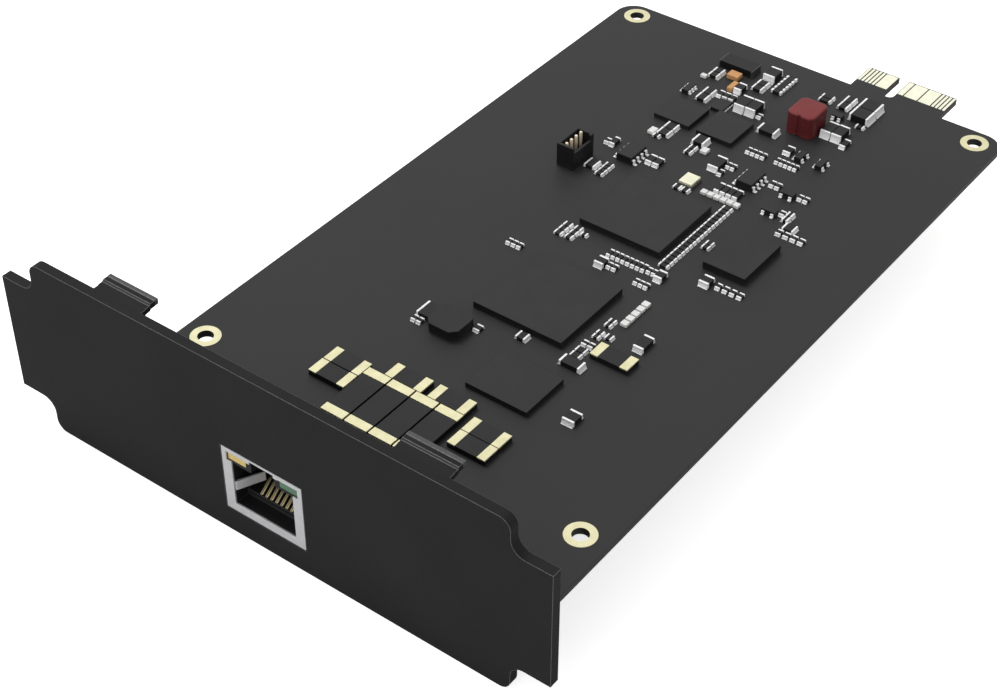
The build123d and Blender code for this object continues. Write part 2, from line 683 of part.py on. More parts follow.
with BuildPart() as gold_end_capacitor_plates:
    length, width, height = GOLD_END_SIZE
    with BuildSketch(Plane.XY.offset(BOARD_TOP + height - GOLD_PLATE)):
        for x, y in GOLD_END_PLACES:
            block(x, y, GOLD_END_CAP, width)
            block(x + length - GOLD_END_CAP, y, GOLD_END_CAP, width)
    extrude(amount=GOLD_PLATE)
gold_end_capacitor_plates.part.label = "gold_end_capacitor_plates"
export_step(gold_end_capacitor_plates.part, "parts/gold_end_capacitor_plates.step")

# Taller capacitor with a dark top and thin silver ends
with BuildPart() as dark_capacitor_body:
    x, y, length, width, height = DARK_CAPACITOR
    with BuildSketch(Plane.XY.offset(BOARD_TOP)):
        block(x + DARK_CAPACITOR_END, y, length - 2 * DARK_CAPACITOR_END, width)
    extrude(amount=height)
dark_capacitor_body.part.label = "dark_capacitor_body"
export_step(dark_capacitor_body.part, "parts/dark_capacitor_body.step")

with BuildPart() as dark_capacitor_ends:
    x, y, length, width, height = DARK_CAPACITOR
    with BuildSketch(Plane.XY.offset(BOARD_TOP)):
        block(x, y, DARK_CAPACITOR_END, width)
        block(x + length - DARK_CAPACITOR_END, y, DARK_CAPACITOR_END, width)
    extrude(amount=height - END_LIP)
dark_capacitor_ends.part.label = "dark_capacitor_ends"
export_step(dark_capacitor_ends.part, "parts/dark_capacitor_ends.step")

# Four long filters side by side behind the jack
with BuildPart() as line_filter_bodies:
    width, length, height = FILTER_SIZE
    x, y = FILTER_START
    with BuildSketch(Plane.XY.offset(BOARD_TOP)):
        for place in row(x, y, width, length, FILTER_COUNT, FILTER_PITCH):
            block(*place)
    extrude(amount=height - GOLD_PLATE)
    with BuildSketch(Plane.XY.offset(BOARD_TOP + height - GOLD_PLATE)):
        for place in row(x, y + FILTER_CAP, width, length - 2 * FILTER_CAP, FILTER_COUNT, FILTER_PITCH):
            block(*place)
    extrude(amount=GOLD_PLATE - END_LIP)
line_filter_bodies.part.label = "line_filter_bodies"
export_step(line_filter_bodies.part, "parts/line_filter_bodies.step")

with BuildPart() as line_filter_plates:
    width, length, height = FILTER_SIZE
    x, y = FILTER_START
    with BuildSketch(Plane.XY.offset(BOARD_TOP + height - GOLD_PLATE)):
        for near in (y, y + length - FILTER_CAP):
            for place in row(x, near, width, FILTER_CAP, FILTER_COUNT, FILTER_PITCH):
                block(*place)
    extrude(amount=GOLD_PLATE)
line_filter_plates.part.label = "line_filter_plates"
export_step(line_filter_plates.part, "parts/line_filter_plates.step")

# Two-ended chips, by height: dark bodies between bright ends
with BuildPart() as thin_chip_bodies:
    with BuildSketch(Plane.XY.offset(BOARD_TOP)):
        bodies_along_x(THIN_ALONG_X, THIN_END)
        bodies_along_y(THIN_ALONG_Y, THIN_END)
    extrude(amount=THIN_HEIGHT - END_LIP)
thin_chip_bodies.part.label = "thin_chip_bodies"
export_step(thin_chip_bodies.part, "parts/thin_chip_bodies.step")

with BuildPart() as thin_chip_terminals:
    with BuildSketch(Plane.XY.offset(BOARD_TOP)):
        ends_along_x(THIN_ALONG_X, THIN_END)
        ends_along_y(THIN_ALONG_Y, THIN_END)
    extrude(amount=THIN_HEIGHT)
thin_chip_terminals.part.label = "thin_chip_terminals"
export_step(thin_chip_terminals.part, "parts/thin_chip_terminals.step")

with BuildPart() as medium_chip_bodies:
    with BuildSketch(Plane.XY.offset(BOARD_TOP)):
        bodies_along_x(MEDIUM_ALONG_X, MEDIUM_END)
        bodies_along_y(MEDIUM_ALONG_Y, MEDIUM_END)
    extrude(amount=MEDIUM_HEIGHT - END_LIP)
medium_chip_bodies.part.label = "medium_chip_bodies"
export_step(medium_chip_bodies.part, "parts/medium_chip_bodies.step")

with BuildPart() as medium_chip_terminals:
    with BuildSketch(Plane.XY.offset(BOARD_TOP)):
        ends_along_x(MEDIUM_ALONG_X, MEDIUM_END)
        ends_along_y(MEDIUM_ALONG_Y, MEDIUM_END)
    extrude(amount=MEDIUM_HEIGHT)
medium_chip_terminals.part.label = "medium_chip_terminals"
export_step(medium_chip_terminals.part, "parts/medium_chip_terminals.step")

with BuildPart() as thick_chip_bodies:
    with BuildSketch(Plane.XY.offset(BOARD_TOP)):
        bodies_along_x(THICK_ALONG_X, THICK_END)
        bodies_along_y(THICK_ALONG_Y, THICK_END)
    extrude(amount=THICK_HEIGHT - END_LIP)
thick_chip_bodies.part.label = "thick_chip_bodies"
export_step(thick_chip_bodies.part, "parts/thick_chip_bodies.step")

with BuildPart() as thick_chip_terminals:
    with BuildSketch(Plane.XY.offset(BOARD_TOP)):
        ends_along_x(THICK_ALONG_X, THICK_END)
        ends_along_y(THICK_ALONG_Y, THICK_END)
    extrude(amount=THICK_HEIGHT)
thick_chip_terminals.part.label = "thick_chip_terminals"
export_step(thick_chip_terminals.part, "parts/thick_chip_terminals.step")

with BuildPart() as tall_chip_bodies:
    with BuildSketch(Plane.XY.offset(BOARD_TOP)):
        bodies_along_x(TALL_ALONG_X, TALL_END)
        bodies_along_y(TALL_ALONG_Y, TALL_END)
    extrude(amount=TALL_HEIGHT - END_LIP)
tall_chip_bodies.part.label = "tall_chip_bodies"
export_step(tall_chip_bodies.part, "parts/tall_chip_bodies.step")

with BuildPart() as tall_chip_terminals:
    with BuildSketch(Plane.XY.offset(BOARD_TOP)):
        ends_along_x(TALL_ALONG_X, TALL_END)
        ends_along_y(TALL_ALONG_Y, TALL_END)
    extrude(amount=TALL_HEIGHT)
tall_chip_terminals.part.label = "tall_chip_terminals"
export_step(tall_chip_terminals.part, "parts/tall_chip_terminals.step")

# Small pale-topped chips in rows
with BuildPart() as pale_chips:
    with BuildSketch(Plane.XY.offset(BOARD_TOP)):
        for place in PALE_PLACES:
            block(*place)
    extrude(amount=PALE_HEIGHT)
pale_chips.part.label = "pale_chips"
export_step(pale_chips.part, "parts/pale_chips.step")

# Two brown ceramic capacitors
with BuildPart() as brown_capacitors:
    with BuildSketch(Plane.XY.offset(BOARD_TOP)):
        for place in BROWN_PLACES:
            block(*place)
    extrude(amount=BROWN_HEIGHT)
brown_capacitors.part.label = "brown_capacitors"
export_step(brown_capacitors.part, "parts/brown_capacitors.step")


def lead_along_x(face, side, y, reach, height, width):
    with BuildSketch(Plane.XZ.offset(-y - width / 2)) as outline:
        Polygon(*lead_outline(face, side, reach, height), align=None)
    extrude(outline.sketch, amount=width)


def lead_along_y(face, side, x, reach, height, width):
    with BuildSketch(Plane.YZ.offset(x - width / 2)) as outline:
        Polygon(*lead_outline(face, side, reach, height), align=None)
    extrude(outline.sketch, amount=width)


def side_leads(place, count, pitch, reach, width):
    """Bent leads along a package's left and right sides."""
    x, y, size_x, size_y, height = place
    for lead_y in spread(y + size_y / 2, count, pitch):
        lead_along_x(x, -1, lead_y, reach, height, width)
        lead_along_x(x + size_x, 1, lead_y, reach, height, width)


# Two eight-lead packages
with BuildPart() as small_outline_bodies:
    for place in SMALL_OUTLINES:
        package(place)
small_outline_bodies.part.label = "small_outline_bodies"
export_step(small_outline_bodies.part, "parts/small_outline_bodies.step")

with BuildPart() as small_outline_leads:
    for place in SMALL_OUTLINES:
        side_leads(
            place, SMALL_OUTLINE_LEADS, SMALL_OUTLINE_PITCH, SMALL_OUTLINE_REACH, SMALL_OUTLINE_LEAD
        )
small_outline_leads.part.label = "small_outline_leads"
export_step(small_outline_leads.part, "parts/small_outline_leads.step")

# Small transistors and a regulator on bent leads
with BuildPart() as transistor_bodies:
    for place in SIDE_LEAD_TRANSISTORS + [SMALL_REGULATOR]:
        package(place)
    for place in END_LEAD_TRANSISTORS:
        package(place[:5])
transistor_bodies.part.label = "transistor_bodies"
export_step(transistor_bodies.part, "parts/transistor_bodies.step")

with BuildPart() as transistor_leads:
    for place in SIDE_LEAD_TRANSISTORS:
        side_leads(place, 2, SIDE_LEAD_PITCH, TRANSISTOR_REACH, TRANSISTOR_LEAD)
    side_leads(SMALL_REGULATOR, 3, REGULATOR_PITCH, TRANSISTOR_REACH, TRANSISTOR_LEAD)
    for x, y, size_x, size_y, height, pitch in END_LEAD_TRANSISTORS:
        middle = x + size_x / 2
        for lead_x in spread(middle, 2, pitch):
            lead_along_y(y, -1, lead_x, TRANSISTOR_REACH, height, TRANSISTOR_LEAD)
        lead_along_y(y + size_y, 1, middle, TRANSISTOR_REACH, height, TRANSISTOR_LEAD)
transistor_leads.part.label = "transistor_leads"
export_step(transistor_leads.part, "parts/transistor_leads.step")


def pin_blocks(place, count, pitch, width, reach):
    """Flat pins standing out from a package's left and right sides."""
    x, y, size_x, size_y, height = place
    for pin_y in spread(y + size_y / 2, count, pitch):
        block(x - reach, pin_y - width / 2, reach, width)
        block(x + size_x, pin_y - width / 2, reach, width)


# Leadless amplifier with flat pins
with BuildPart() as flat_amplifier_body:
    package(AMPLIFIER)
flat_amplifier_body.part.label = "flat_amplifier_body"
export_step(flat_amplifier_body.part, "parts/flat_amplifier_body.step")

with BuildPart() as flat_amplifier_pins:
    with BuildSketch(Plane.XY.offset(BOARD_TOP)):
        pin_blocks(
            AMPLIFIER, AMPLIFIER_PINS, AMPLIFIER_PITCH, AMPLIFIER_PIN_WIDTH, AMPLIFIER_PIN_REACH
        )
    extrude(amount=AMPLIFIER[4] / 2)
flat_amplifier_pins.part.label = "flat_amplifier_pins"
export_step(flat_amplifier_pins.part, "parts/flat_amplifier_pins.step")

# Resistor array with ends along both sides
with BuildPart() as resistor_array_body:
    package(ARRAY)
resistor_array_body.part.label = "resistor_array_body"
export_step(resistor_array_body.part, "parts/resistor_array_body.step")

with BuildPart() as resistor_array_terminals:
    with BuildSketch(Plane.XY.offset(BOARD_TOP)):
        pin_blocks(ARRAY, ARRAY_PINS, ARRAY_PITCH, ARRAY_PIN_WIDTH, ARRAY_PIN_REACH)
    extrude(amount=ARRAY[4] - CHIP_EDGE)
resistor_array_terminals.part.label = "resistor_array_terminals"
export_step(resistor_array_terminals.part, "parts/resistor_array_terminals.step")
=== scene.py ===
# %% [markdown]
# # Expansion module for a telephone exchange
# A dark front panel carries a network jack, and a circuit board stands behind it at right
# angles, full of chips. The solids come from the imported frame, in metres; this file gives them
# their looks. The frame is loaded first, and its box is kept, because the dressed model has to
# stay inside it.

# %% Load the frame
import json
import math

import bmesh
import bpy
import numpy as np
from mathutils import Matrix, Vector


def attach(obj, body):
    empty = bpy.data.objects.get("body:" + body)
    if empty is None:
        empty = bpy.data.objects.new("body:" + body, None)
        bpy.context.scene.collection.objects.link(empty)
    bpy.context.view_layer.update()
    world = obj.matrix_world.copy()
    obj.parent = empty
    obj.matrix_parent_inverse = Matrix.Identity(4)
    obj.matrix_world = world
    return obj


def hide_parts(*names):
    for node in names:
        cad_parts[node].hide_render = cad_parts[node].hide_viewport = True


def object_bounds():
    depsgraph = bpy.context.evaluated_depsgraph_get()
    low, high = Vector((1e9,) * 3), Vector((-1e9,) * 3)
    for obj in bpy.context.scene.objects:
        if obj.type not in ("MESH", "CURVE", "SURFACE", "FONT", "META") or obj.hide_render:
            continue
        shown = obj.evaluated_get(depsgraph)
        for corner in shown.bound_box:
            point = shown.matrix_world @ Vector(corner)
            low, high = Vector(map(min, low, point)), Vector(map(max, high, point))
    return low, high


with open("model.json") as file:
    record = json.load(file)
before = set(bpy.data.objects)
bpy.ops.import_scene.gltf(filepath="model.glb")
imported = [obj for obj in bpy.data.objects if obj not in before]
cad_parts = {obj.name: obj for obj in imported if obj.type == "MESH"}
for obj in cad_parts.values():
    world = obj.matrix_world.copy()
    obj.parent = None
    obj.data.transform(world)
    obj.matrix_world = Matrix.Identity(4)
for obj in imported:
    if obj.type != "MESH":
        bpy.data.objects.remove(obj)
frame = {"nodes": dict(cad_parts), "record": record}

MM = 0.001
nodes = frame["nodes"]
cad_box = [list(corner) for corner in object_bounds()]
print("nodes", len(nodes), "box in mm", [[round(v / MM, 2) for v in c] for c in cad_box])

# %% [markdown]
# ## Camera
# The module is seen from above and from its right front corner with a longish lens. A camera
# could be aimed by hand, but place and angles are known here in the module's own frame, so the
# numbers go straight in: the lens looks back along one direction, with no roll and no shift.

# %% Place the camera
CAMERA_AT = Vector((147.10, -227.28, 205.13)) * MM
CAMERA_TURN = math.radians(37.034)
CAMERA_TILT = math.radians(40.294)
LENS_MM = 72.016
SENSOR_MM = 36

camera_data = bpy.data.cameras.new("camera")
camera_data.lens = LENS_MM
camera_data.sensor_width = SENSOR_MM
camera_data.sensor_fit = "HORIZONTAL"
camera_data.clip_start = 0.01
camera_data.clip_end = 20
camera = bpy.data.objects.new("camera", camera_data)
bpy.context.scene.collection.objects.link(camera)
backward = Vector((
    math.sin(CAMERA_TURN) * math.cos(CAMERA_TILT),
    -math.cos(CAMERA_TURN) * math.cos(CAMERA_TILT),
    math.sin(CAMERA_TILT),
))
camera.location = CAMERA_AT
camera.rotation_euler = (-backward).to_track_quat("-Z", "Y").to_euler()
bpy.context.scene.camera = camera
print("camera", [round(v, 4) for v in camera.location])

# %% [markdown]
# ## A small language for shader nodes
# Materials can be clicked together in the editor, but a script stays readable when the maths
# looks like maths. `Value` wraps one output socket, so that `grain * 0.3 + 0.5` adds its Math
# nodes.

# %% Wrap one output socket
class Value:
    def __init__(self, finish, socket):
        self.finish = finish
        self.socket = socket

    def math(self, operation, *others, flipped=False):
        terms = [self, *others]
        if flipped:
            terms.reverse()
        inputs = dict(enumerate(terms))
        return self.finish.add("ShaderNodeMath", {"operation": operation}, inputs)

    def __add__(self, other):
        return self.math("ADD", other)

    __radd__ = __add__

    def __sub__(self, other):
        return self.math("SUBTRACT", other)

    def __rsub__(self, other):
        return self.math("SUBTRACT", other, flipped=True)

    def __mul__(self, other):
        return self.math("MULTIPLY", other)

    __rmul__ = __mul__

    def __truediv__(self, other):
        return self.math("DIVIDE", other)

    def above(self, edge):
        return self.math("GREATER_THAN", edge)

    def below(self, edge):
        return self.math("LESS_THAN", edge)

    def held(self):
        return self.finish.add("ShaderNodeClamp", {}, {0: self})


print("socket maths ready")

# %% [markdown]
# `Finish` holds one material: its Principled surface, and a single method, `add`, that puts any
# other node into its tree. The named textures below it are the ones that the finishes share.

# %% Wrap one material
class Finish:
    """One material: a Principled surface and whatever feeds it."""

    def __init__(self, name, **fixed):
        self.material = bpy.data.materials.new(name)
        self.material.use_nodes = True
        self.tree = self.material.node_tree
        self.tree.nodes.clear()
        self.surface = self.tree.nodes.new("ShaderNodeBsdfPrincipled")
        output = self.tree.nodes.new("ShaderNodeOutputMaterial")
        self.tree.links.new(self.surface.outputs[0], output.inputs[0])
        self.give(fixed)
        place = self.tree.nodes.new("ShaderNodeTexCoord")
        self.place = Value(self, place.outputs["Object"])

    def plug(self, socket, value):
        if isinstance(value, Value):
            self.tree.links.new(value.socket, socket)
        elif isinstance(value, tuple) and len(value) == 3 and socket.type == "RGBA":
            socket.default_value = (*value, 1)
        else:
            socket.default_value = value

    def add(self, kind, settings=None, inputs=None, out=0):
        node = self.tree.nodes.new(kind)
        for name, value in (settings or {}).items():
            if name == "stops":
                for element, (at, shade) in zip(node.color_ramp.elements, value):
                    element.position = at
                    element.color = (shade, shade, shade, 1)
            else:
                setattr(node, name, value)
        for name, value in (inputs or {}).items():
            self.plug(node.inputs[name], value)
        return Value(self, node.outputs[out])

    def give(self, sockets):
        for name, value in sockets.items():
            self.plug(self.surface.inputs[name], value)

    def upward(self):
        """How far the surface faces up in the object's own frame, 0 to 1."""
        facing = self.tree.nodes.new("ShaderNodeTexCoord").outputs["Normal"]
        parts = self.add("ShaderNodeSeparateXYZ", {}, {0: Value(self, facing)}, out=2)
        return parts.held()

    def part(self, axis):
        """One coordinate of the shaded point in the object's own frame."""
        return self.add("ShaderNodeSeparateXYZ", {}, {0: self.place}, out="XYZ".index(axis))

    def mix(self, factor, first, second):
        return self.add(
            "ShaderNodeMix",
            {"data_type": "RGBA"},
            {0: factor, 6: first, 7: second},
            out=2,
        )

    def stretched(self, scale):
        return self.add("ShaderNodeMapping", {}, {"Vector": self.place, "Scale": scale})

    def noise(self, scale, detail=3.0, place=None, rough=0.5):
        inputs = {"Vector": place or self.place, "Scale": scale, "Detail": detail}
        inputs["Roughness"] = rough
        return self.add("ShaderNodeTexNoise", {}, inputs)

    def cells(self, scale):
        return self.add("ShaderNodeTexVoronoi", {}, {"Vector": self.place, "Scale": scale})

    def ramp(self, value, low, high):
        stops = [(low, 0.0), (high, 1.0)]
        return self.add("ShaderNodeValToRGB", {"stops": stops}, {0: value})

    def bump(self, height, depth_mm, strength):
        inputs = {"Height": height, "Distance": depth_mm * MM, "Strength": strength}
        self.give({"Normal": self.add("ShaderNodeBump", {}, inputs)})


def shade(level):
    """The linear value of a grey or colour written as 0 to 255 on screen."""
    if isinstance(level, tuple):
        return tuple(shade(v) for v in level)
    share = level / 255
    return share / 12.92 if share <= 0.04045 else ((share + 0.055) / 1.055) ** 2.4


print("shader helpers ready; grey 64 is", round(shade(64), 4))

# %% [markdown]
# ## Finishes
# The real module is mostly dark: powder coat on the panel, solder mask on the board, moulded
# epoxy on the chips. What tells them apart is grain, gloss and a little unevenness, so each
# finish gets its own, at its real scale. Textures read Object coordinates in metres, so a
# scale of 1 / (0.2 mm) means grains of about 0.2 mm. The outermost folds of the two bent
# fingers get a painted highlight, lighter strips where they catch the light; two steps in Y and
# Z pick those strips out.

# %% Powder coat of the panel
LUG_FOLD_Y = -74.0
LUG_LIP_Y = -72.8
LUG_FOLD_WIDTH = 0.3
LUG_LOW_Z = 16.3


def per_mm(size_mm):
    return 1 / (size_mm * MM)


def powder_coat():
    f = Finish("powder_coat", **{"Metallic": 0.0, "Specular IOR Level": 0.05})
    peel = f.noise(per_mm(0.55), detail=2.0)
    fine = f.noise(per_mm(0.12), detail=1.0)
    cloud = f.ramp(f.noise(per_mm(18), detail=4.0), 0.3, 0.7)
    base = f.mix(cloud, shade((37, 37, 37)), shade((41, 41, 41)))
    fleck = f.ramp(fine, 0.62, 0.75)
    base = f.mix(fleck * 0.3, base, shade((52, 52, 52)))
    # painted highlight: the lip and one fold of each bent finger are lightened toward grey 104
    on_lug = f.part("Z").above(LUG_LOW_Z * MM)
    lip = f.part("Y").above(LUG_LIP_Y * MM) * on_lug
    fold_end = (LUG_FOLD_Y + LUG_FOLD_WIDTH) * MM
    fold = f.part("Y").above(LUG_FOLD_Y * MM) * f.part("Y").below(fold_end) * on_lug
    painted_lug_highlight = (lip * 0.75 + fold * 0.25) * (peel * 0.6 + 0.6)
    f.give({"Base Color": f.mix(painted_lug_highlight.held(), base, shade((104, 104, 104)))})
    f.give({"Roughness": peel * 0.16 + 0.48})
    f.bump(peel * 0.7 + fine * 0.3, 0.035, 0.55)
    return f.material


def edge_highlight_coat():
    """The same coat, lighter, for the bevelled edges: a painted highlight along each edge."""
    f = Finish("edge_highlight_coat", **{"Metallic": 0.0, "Specular IOR Level": 0.4})
    grain = f.noise(per_mm(0.4), detail=3.0)
    patch = f.ramp(grain, 0.35, 0.65)
    f.give({"Base Color": f.mix(patch, shade((84, 84, 84)), shade((112, 112, 112)))})
    f.give({"Roughness": grain * 0.2 + 0.35})
    f.bump(grain, 0.02, 0.4)
    return f.material


COAT = powder_coat()
COAT_EDGE_HIGHLIGHT = edge_highlight_coat()
print("made", COAT.name, COAT_EDGE_HIGHLIGHT.name)

# %% [markdown]
# The board is glass cloth under solder mask. The cloth shows as a very faint weave in the
# surface, and the mask itself is a little cloudy, with fine paler grains. Two crossed waves make
# the weave. Over the plated vias the same mask looks paler, so the recipe takes its two greys.

# %% Solder mask of the board
WEAVE_SCALE = per_mm(10)


def solder_mask(name, low, high):
    f = Finish(name, **{"Metallic": 0.0, "Specular IOR Level": 0.16})
    waves = [
        f.add(
            "ShaderNodeTexWave",
            {"bands_direction": axis},
            {"Vector": f.place, "Scale": WEAVE_SCALE},
        )
        for axis in "XY"
    ]
    weave = waves[0] * waves[1]
    cloud = f.ramp(f.noise(per_mm(25), detail=4.0), 0.3, 0.7)
    grain = f.noise(per_mm(0.3), detail=3.0)
    base = f.mix(cloud, shade((low, low, low)), shade((high, high, high)))
    fleck = f.ramp(grain, 0.55, 0.8) * 0.25
    f.give({"Base Color": f.mix(fleck, base, shade((68, 68, 69)))})
    f.give({"Roughness": cloud * 0.06 + grain * 0.1 + 0.42})
    f.bump(weave * 0.5 + grain * 0.5, 0.012, 0.5)
    return f.material


MASK = solder_mask("solder_mask", 43, 47)
VIA_MASK = solder_mask("mask_on_copper", 70, 78)
print("made", MASK.name, VIA_MASK.name)

# %% [markdown]
# Metals come next. Gold plate over nickel is soft and slightly cloudy; tin on the chip ends and
# the solder is paler and a little wrinkled; the jack's shield is rolled sheet with fine streaks
# along its length. All are one recipe with other colours, grain and stretch. `patches` says
# where the lighter colour lies, and it is clouds unless a finish brings its own pattern.

# %% Metals
def clouds(f, size_mm):
    return f.ramp(f.noise(per_mm(size_mm), detail=3.0), 0.3, 0.7)


def metal(
    name, dark, light, grain_mm, rough, depth_mm, metallic, stretch=(1, 1, 1), patches=None
):
    f = Finish(name, **{"Metallic": metallic})
    grain = f.noise(per_mm(grain_mm), detail=4.0, place=f.stretched(stretch))
    cloud = patches(f) if patches else clouds(f, grain_mm * 9)
    f.give({"Base Color": f.mix(cloud, shade(dark), shade(light))})
    f.give({"Roughness": grain * 0.22 + rough})
    f.bump(grain, depth_mm, 0.5)
    return f.material


GOLD = metal("gold_plate", (208, 203, 164), (222, 217, 178), 0.16, 0.38, 0.012, 0.45)
FINGER_GOLD = metal("finger_gold", (238, 238, 212), (250, 250, 228), 0.16, 0.36, 0.01, 0.3)
LID_GOLD = metal("lid_gold", (226, 224, 196), (238, 236, 210), 0.16, 0.36, 0.01, 0.35)
# painted light: the header pins' gold is near white, lighter than the other gold, to stand in for
# light down in the header's well
PIN_GOLD_PAINTED_LIGHT = metal("pin_gold_painted_light", (255, 232, 200), (255, 242, 218), 0.1, 0.3, 0.006, 0.1)
TIN = metal("tin_plate", (244, 244, 245), (255, 255, 255), 0.12, 0.36, 0.012, 0.05)
# painted highlight: a slightly lighter copy of tin for the thin formed leads
LEAD_PAINTED_HIGHLIGHT = metal("formed_lead_highlight", (246, 246, 246), (255, 255, 255), 0.12, 0.34, 0.01, 0.05)
DULL = metal("dull_end", (60, 60, 60), (72, 72, 72), 0.12, 0.4, 0.01, 0.3)
SHEET = metal(
    "rolled_sheet", (201, 201, 203), (209, 209, 211), 0.1, 0.3, 0.008, 0.5, stretch=(1, 0.04, 1)
)
METALS = (GOLD, FINGER_GOLD, LID_GOLD, PIN_GOLD_PAINTED_LIGHT, TIN, LEAD_PAINTED_HIGHLIGHT, DULL, SHEET)
print("made", [m.name for m in METALS])

# %% [markdown]
# The jack's sprung contacts are folded wire. Each gets a dark line of painted shade down its
# middle, by the fraction of its place across the row, and painted shade that darkens it toward
# the back of the mouth. Only the pattern is new, so the same recipe takes it. Sizes are in
# millimetres in the module's frame.

# %% Gold of the sprung contacts
SPRING_BACK = 69.4
SPRING_RUN = 5.2
SPRING_MIDDLE = 10.2
SPRING_PITCH = 1.02


def spring_light(f):
    # painted shade: darker toward the back of the mouth and down each contact's middle
    depth = f.ramp((f.part("Y") + SPRING_BACK * MM) * -per_mm(SPRING_RUN), 0.5, 1.0)
    across = (f.part("X") + SPRING_MIDDLE * MM) * per_mm(SPRING_PITCH)
    middle = (across.math("FRACT") - 0.5).math("ABSOLUTE").below(0.1)
    return depth * (1 - middle * 0.75)


SPRING_GOLD = metal(
    "spring_gold", (44, 40, 30), (224, 206, 154), 0.1, 0.35, 0.006, 0.4, patches=spring_light
)
print("made", SPRING_GOLD.name)

# %% [markdown]
# Moulded parts have a fine sandy skin from the tool, duller on epoxy chip bodies and smoother on
# nylon. Fired ceramic is smoother still and a little speckled. One recipe takes the two
# colours, the grain's size and how deep and rough it is. A package's flanks get painted shade:
# they are darker than its top, the object-space normal's upward part tells the two apart, and
# `flank` is how much of the colour a side keeps. Near the board a side keeps FOOT_GAIN times as
# much, so the painted shade lightens toward the board.

# %% Moulded and fired bodies
FOOT_GAIN = 2.4


def moulded(name, dark, light, grain_mm, rough, depth_mm, flank=1.0):
    f = Finish(name, **{"Metallic": 0.0, "Specular IOR Level": 0.18})
    grain = f.noise(per_mm(grain_mm), detail=4.0, rough=0.6)
    speck = f.ramp(f.cells(per_mm(grain_mm * 2.5)), 0.05, 0.35)
    cloud = f.ramp(f.noise(per_mm(grain_mm * 30), detail=3.0), 0.3, 0.7)
    base = f.mix((1 - speck) * 0.3, f.mix(cloud, shade(dark), shade(light)), shade(light))
    # painted shade: flanks darker than the top, darkest high on the side and lighter toward the
    # board
    if flank < 1:
        foot = tuple(v * min(1, flank * FOOT_GAIN) for v in shade(dark))
        face = tuple(v * flank for v in shade(dark))
        side = f.mix(f.ramp(f.part("Z") * per_mm(2), 0.6, 1.2), foot, face)
        base = f.mix(f.ramp(f.upward(), 0.55, 0.85), side, base)
    f.give({"Base Color": base})
    f.give({"Roughness": grain * 0.18 + rough})
    f.bump(grain * 0.7 + speck * 0.3, depth_mm, 0.6)
    return f.material


EPOXY = moulded("epoxy_mould", (42, 42, 42), (46, 46, 46), 0.14, 0.5, 0.02, flank=0.3)
FILM = moulded("capacitor_film", (33, 33, 34), (38, 38, 39), 0.12, 0.45, 0.012, flank=0.32)
NYLON = moulded("jack_nylon", (22, 22, 23), (28, 28, 29), 0.2, 0.42, 0.015)
# painted highlight: a lighter copy of the jack's nylon, for its bevelled edges
NYLON_EDGE_HIGHLIGHT = moulded("jack_nylon_edge_highlight", (46, 46, 47), (56, 56, 57), 0.2, 0.35, 0.01)
SHROUD = moulded("header_nylon", (36, 36, 37), (42, 42, 43), 0.2, 0.45, 0.015, flank=0.45)
FERRITE = moulded("black_ferrite", (42, 42, 42), (46, 46, 46), 0.1, 0.55, 0.02, flank=0.4)
RED = moulded("red_ferrite", (116, 44, 46), (126, 52, 53), 0.14, 0.4, 0.015, flank=0.6)
PALE = moulded("pale_ceramic", (226, 226, 224), (238, 238, 236), 0.12, 0.4, 0.01)
BROWN = moulded("brown_ceramic", (196, 142, 92), (210, 158, 106), 0.12, 0.42, 0.01)
BASE = moulded("crystal_ceramic", (86, 84, 80), (96, 94, 90), 0.12, 0.5, 0.01)
BODIES = (EPOXY, FILM, NYLON, NYLON_EDGE_HIGHLIGHT, SHROUD, FERRITE, RED, PALE, BROWN, BASE)
print("made", [m.name for m in BODIES])

# %% [markdown]
# The lamp windows are tinted plastic light guides with a frosted face. They are unlit, so their
# colour is in the plastic, with a little depth from a clear coat over soft streaks.

# %% Lamp windows
def lamp_plastic(name, dark, light):
    f = Finish(name, **{"Metallic": 0.0, "IOR": 1.49, "Coat Weight": 0.5})
    f.give({"Coat Roughness": 0.12, "Subsurface Weight": 0.15})
    f.give({"Subsurface Scale": 0.8 * MM})
    streak = f.noise(per_mm(0.5), detail=3.0, place=f.stretched((1, 0.3, 3)))
    f.give({"Base Color": f.mix(f.ramp(streak, 0.3, 0.7), shade(dark), shade(light))})
    f.give({"Roughness": streak * 0.15 + 0.28})
    f.bump(streak, 0.02, 0.4)
    return f.material


YELLOW = lamp_plastic("yellow_lamp", (206, 176, 88), (224, 196, 112))
GREEN = lamp_plastic("green_lamp", (48, 100, 66), (60, 116, 78))
print("made", YELLOW.name, GREEN.name)

# %% [markdown]
# ## Which finish goes where
# Each solid of the frame names a material slot in its record. One table turns slots into
# finishes; every carried-over solid gets its own from it, and later pieces ask the same table.
# A few nodes differ from the rest of their slot: thin formed leads are a slightly brighter copy
# of solder, a painted highlight; the header pins' gold is near white, painted light; the flat
# contact fingers are paler than the other gold; and the jack's contacts are darker, with
# painted shade toward the back of the mouth.

